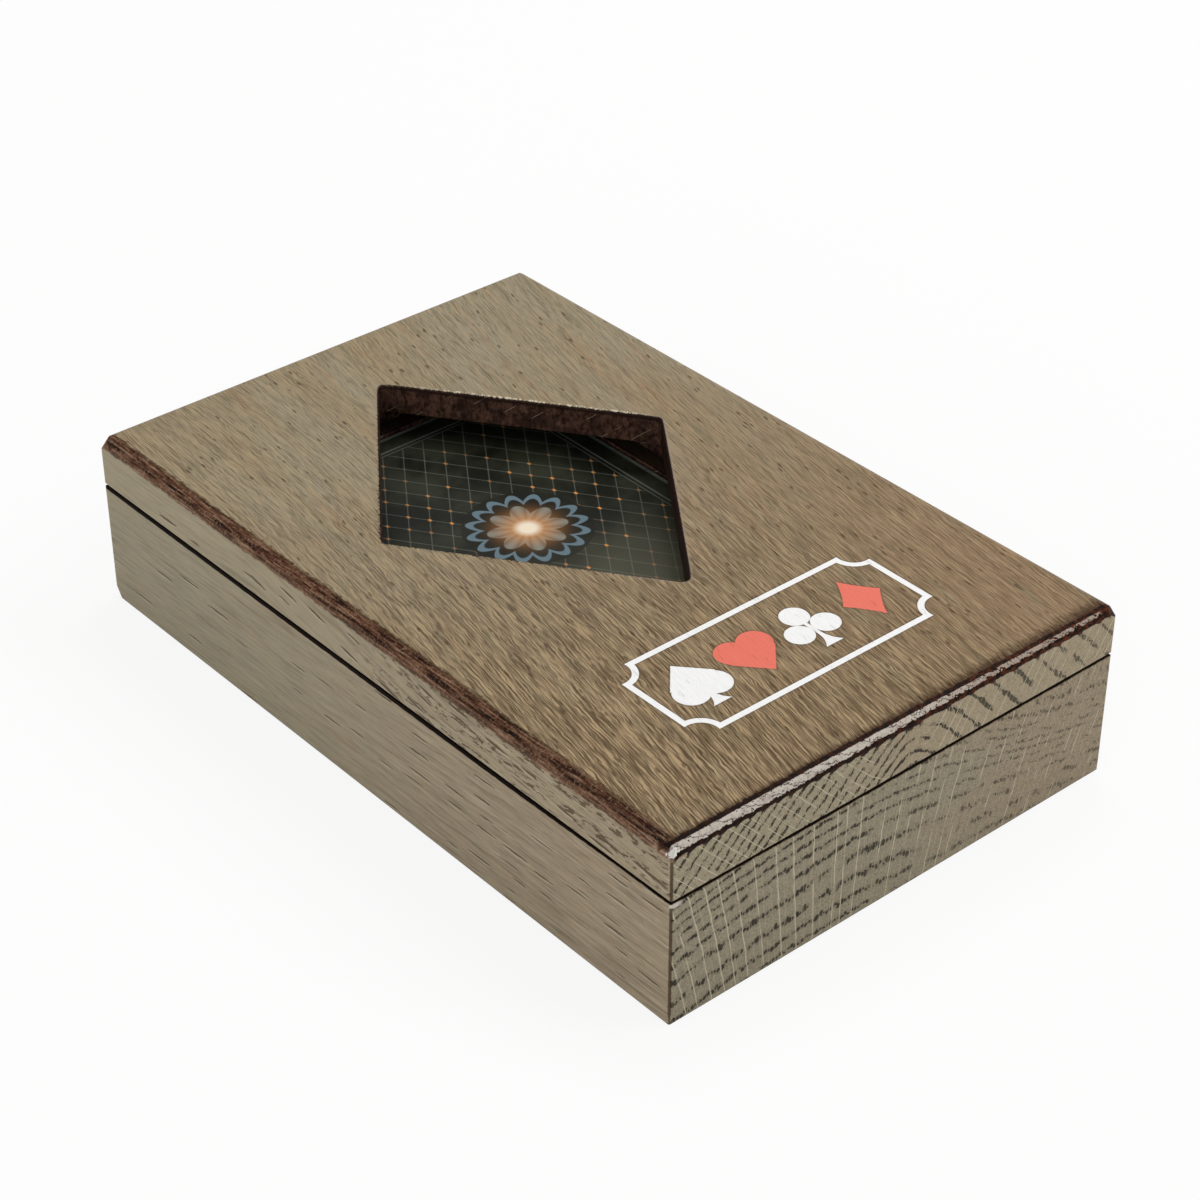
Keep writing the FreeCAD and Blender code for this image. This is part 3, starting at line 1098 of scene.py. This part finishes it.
def lid_print(g, x, y, nz, fibre, colour):
    """Four suit pips in a frame with scooped corners, screen-printed on the open grain."""
    v = (y - PRINT_CENTRE_Y) / PIP_HALF_HEIGHT
    worn = (fibre - 0.5) * 0.1
    covers = {"white": [], "red": []}
    outlines = []
    for index, (shape, ink) in enumerate(PIPS):
        u = (x - (index - 1.5) * PIP_PITCH) / PIP_HALF_HEIGHT
        outline = shape(u, v)
        outlines.append(outline)
        covers[ink].append((outline + worn * 0.3).ramp(0.012, -0.012) * abs(u).ramp(1.45, 1.4))
    off_line = print_frame(x, y)
    line = (off_line + worn).ramp(0.05, -0.05)
    off_pips = functools.reduce(Field.least, outlines) * PIP_HALF_HEIGHT
    white = functools.reduce(Field.most, covers["white"]).most(line)
    red = functools.reduce(Field.most, covers["red"])

    # The ink lies thinner in open fibres, and a dark edge surrounds it.
    top = nz.ramp(0.9, 0.95)
    thin = 1.0 - fibre.ramp(0.36, 0.22) * 0.35
    return g.paint(
        colour,
        (off_line.least(off_pips).ramp(0.45, 0.1) * top * 0.45, OAK_DARK),
        (white * top * thin, INK_WHITE),
        (red * top * thin, INK_RED),
    )


# ---------------------------------------------------------------- the studio

WHITE = (1.0, 1.0, 1.0, 1.0)
FLOOR_PAPER = (0.96, 0.96, 0.96, 1.0)
FLOOR_SIZE = 6.0
FLOOR_GLOW = 0.86
WORLD_TINT = (1.0, 0.99, 0.975, 1.0)
WORLD_LIGHT = 0.54


@dataclass
class SoftBox:
    """A rectangular lamp that faces the box. Lengths are in metres and power in watts."""

    name: str
    direction: tuple
    long_axis: tuple
    distance: float
    width: float
    length: float
    power: float


SOFT_BOXES = (
    SoftBox(
        name="edge_box",
        direction=(0.537, -0.377, 0.757),
        long_axis=(0.0, 0.86, 0.51),
        distance=1.0,
        width=0.24,
        length=1.3,
        power=3.4,
    ),
    SoftBox(
        name="key_box",
        direction=(0.33, 0.24, 0.91),
        long_axis=(0.0, 1.0, 0.0),
        distance=1.2,
        width=0.35,
        length=0.35,
        power=2.2,
    ),
    SoftBox(
        name="fill_box",
        direction=(-0.8, -0.4, 0.4),
        long_axis=(0.0, 0.0, 1.0),
        distance=1.6,
        width=1.2,
        length=0.8,
        power=4.4,
    ),
)


def put_in_scene(thing, axes, location):
    """Sets a lamp or camera at a place, with its own axes along the three given ones."""
    bpy.context.scene.collection.objects.link(thing)
    thing.matrix_world = Matrix.Translation(location) @ Matrix(axes).transposed().to_4x4()


def make_floor():
    """A white sweep that stays white to the camera and still takes the box's shadow."""
    bpy.ops.mesh.primitive_plane_add(size=FLOOR_SIZE, location=(0, 0, 0))
    floor = bpy.context.object
    floor.name = "studio_floor"
    g = Graph("studio_white")
    path = g.add("ShaderNodeLightPath")
    seen = g.math("MAXIMUM", path.outputs["Is Camera Ray"], path.outputs["Is Glossy Ray"])
    seen = seen.most(g.field(path.outputs["Is Transmission Ray"]))
    x, y = g.position_mm()[:2]
    nap = g.noise(x, y, 0.0).ramp(-40.0, 40.0)
    paper = g.add("ShaderNodeBsdfDiffuse", {"Color": FLOOR_PAPER, "Roughness": nap})
    light = g.add("ShaderNodeEmission", {"Color": WHITE, "Strength": 1.0})
    shaders = {"Fac": seen * FLOOR_GLOW, 1: paper.outputs[0], 2: light.outputs[0]}
    blend = g.add("ShaderNodeMixShader", shaders)
    output = g.add("ShaderNodeOutputMaterial")
    g.tree.links.new(blend.outputs[0], output.inputs["Surface"])
    floor.data.materials.append(g.material)


def make_world():
    """An even white surround, dimmer as a lamp than as a background."""
    world = bpy.data.worlds.new("studio_world")
    bpy.context.scene.world = world
    world.use_nodes = True
    tree = world.node_tree
    tree.nodes.clear()
    path = tree.nodes.new("ShaderNodeLightPath")
    lamp = tree.nodes.new("ShaderNodeBackground")
    lamp.inputs["Color"].default_value = WORLD_TINT
    lamp.inputs["Strength"].default_value = WORLD_LIGHT
    seen = tree.nodes.new("ShaderNodeBackground")
    seen.inputs["Color"].default_value = WHITE
    blend = tree.nodes.new("ShaderNodeMixShader")
    output = tree.nodes.new("ShaderNodeOutputWorld")
    tree.links.new(path.outputs["Is Camera Ray"], blend.inputs["Fac"])
    tree.links.new(lamp.outputs[0], blend.inputs[1])
    tree.links.new(seen.outputs[0], blend.inputs[2])
    tree.links.new(blend.outputs[0], output.inputs["Surface"])


def make_lamp(box):
    """Adds the lamp of one soft box."""
    data = bpy.data.lights.new(box.name, "AREA")
    data.shape = "RECTANGLE"
    data.size = box.width
    data.size_y = box.length
    data.energy = box.power
    away = Vector(box.direction).normalized()
    across = Vector(box.long_axis).cross(away).normalized()
    axes = (across, away.cross(across), away)
    put_in_scene(bpy.data.objects.new(box.name, data), axes, away * box.distance)


def make_camera():
    """The photograph's viewpoint: away points from the box to the camera."""
    level = math.cos(VIEW_ELEVATION)
    away_x = math.sin(VIEW_AZIMUTH) * level
    away_y = -math.cos(VIEW_AZIMUTH) * level
    away = Vector((away_x, away_y, math.sin(VIEW_ELEVATION)))
    right = (-away).cross(Vector((0, 0, 1))).normalized()
    data = bpy.data.cameras.new("camera")
    data.sensor_width = SENSOR_WIDTH_MM
    data.lens = LENS_MM
    data.clip_start = CLIP_START
    camera = bpy.data.objects.new("camera", data)
    axes = (right, right.cross(-away), away)
    put_in_scene(camera, axes, VIEW_TARGET + away * VIEW_DISTANCE)
    bpy.context.scene.camera = camera


# ---------------------------------------------------------------- putting it together

TOP_CARD = "card_joker_red"


def dress(node, material):
    """Gives a CAD node its finished material."""
    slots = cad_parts[node].data.materials
    slots.clear()
    slots.append(material)


def dress_nodes():
    dress("base_block", oak("stained_oak_base", BASE_BOARD))
    dress("lid_panel", oak("stained_oak_lid", LID_BOARD))
    metal = nickel("nickel_plate")
    dress("base_magnets", metal)
    dress("lid_magnets", metal)
    stock = card_stock("card_stock_white", TOP_CARD)
    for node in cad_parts:
        if node.startswith("card_") and node != TOP_CARD:
            dress(node, stock)
    dress(TOP_CARD, card_back("card_back_print", TOP_CARD))


bpy.context.scene.view_settings.view_transform = "Standard"
make_camera()
make_world()
make_floor()
for soft_box in SOFT_BOXES:
    make_lamp(soft_box)
dress_nodes()
